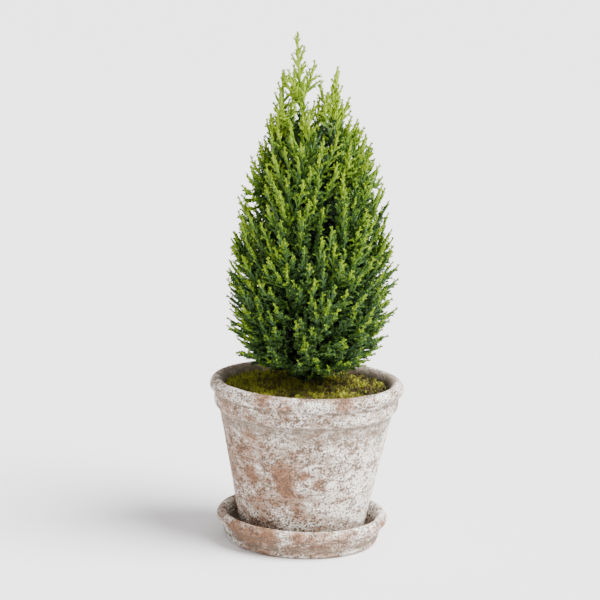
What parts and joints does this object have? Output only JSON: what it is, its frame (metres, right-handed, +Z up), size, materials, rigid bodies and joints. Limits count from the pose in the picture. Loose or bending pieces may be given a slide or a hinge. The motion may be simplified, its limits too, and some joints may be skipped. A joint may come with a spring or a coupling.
{
  "type": "potted plant",
  "caption": "Small lemon cypress grown as a pointed cone of feathery upright sprays, with mossy soil in a rolled-rim terracotta pot on a matching saucer.",
  "frame": {"origin": "middle of the saucer's flat underside, on the surface the plant stands on", "axes": "+Z up along the pot's axis; +X to the right as seen from the front, which is -Y"},
  "size_m": [0.2094, 0.2094, 0.548],
  "materials": {
    "terracotta": "matte",
    "soil": "matte",
    "moss": "matte",
    "bark": "matte",
    "foliage": "matte"
  },
  "bodies": {
    "root": {"pot": "terracotta", "saucer": "terracotta", "soil": "soil", "moss": "moss", "trunk": "bark", "bough_skirt_1": "bark", "bough_skirt_2": "bark", "bough_skirt_3": "bark", "bough_skirt_4": "bark", "bough_skirt_5": "bark", "bough_skirt_6": "bark", "bough_low_1": "bark", "bough_low_2": "bark", "bough_low_3": "bark", "bough_low_4": "bark", "bough_low_5": "bark", "bough_low_6": "bark", "bough_waist_1": "bark", "bough_waist_2": "bark", "bough_waist_3": "bark", "bough_waist_4": "bark", "bough_waist_5": "bark", "bough_waist_6": "bark", "bough_shoulder_1": "bark", "bough_shoulder_2": "bark", "bough_shoulder_3": "bark", "bough_shoulder_4": "bark", "bough_second_leader": "bark", "bough_left_shoot": "bark", "bough_back_shoot": "bark", "bough_front_shoot": "bark", "foliage_skirt_1": "foliage", "foliage_skirt_2": "foliage", "foliage_skirt_3": "foliage", "foliage_skirt_4": "foliage", "foliage_skirt_5": "foliage", "foliage_skirt_6": "foliage", "foliage_low_1": "foliage", "foliage_low_2": "foliage", "foliage_low_3": "foliage", "foliage_low_4": "foliage", "foliage_low_5": "foliage", "foliage_low_6": "foliage", "foliage_waist_1": "foliage", "foliage_waist_2": "foliage", "foliage_waist_3": "foliage", "foliage_waist_4": "foliage", "foliage_waist_5": "foliage", "foliage_waist_6": "foliage", "foliage_shoulder_1": "foliage", "foliage_shoulder_2": "foliage", "foliage_shoulder_3": "foliage", "foliage_shoulder_4": "foliage", "foliage_second_leader": "foliage", "foliage_left_shoot": "foliage", "foliage_back_shoot": "foliage", "foliage_front_shoot": "foliage", "foliage_leader": "foliage"}
  },
  "joints": []
}
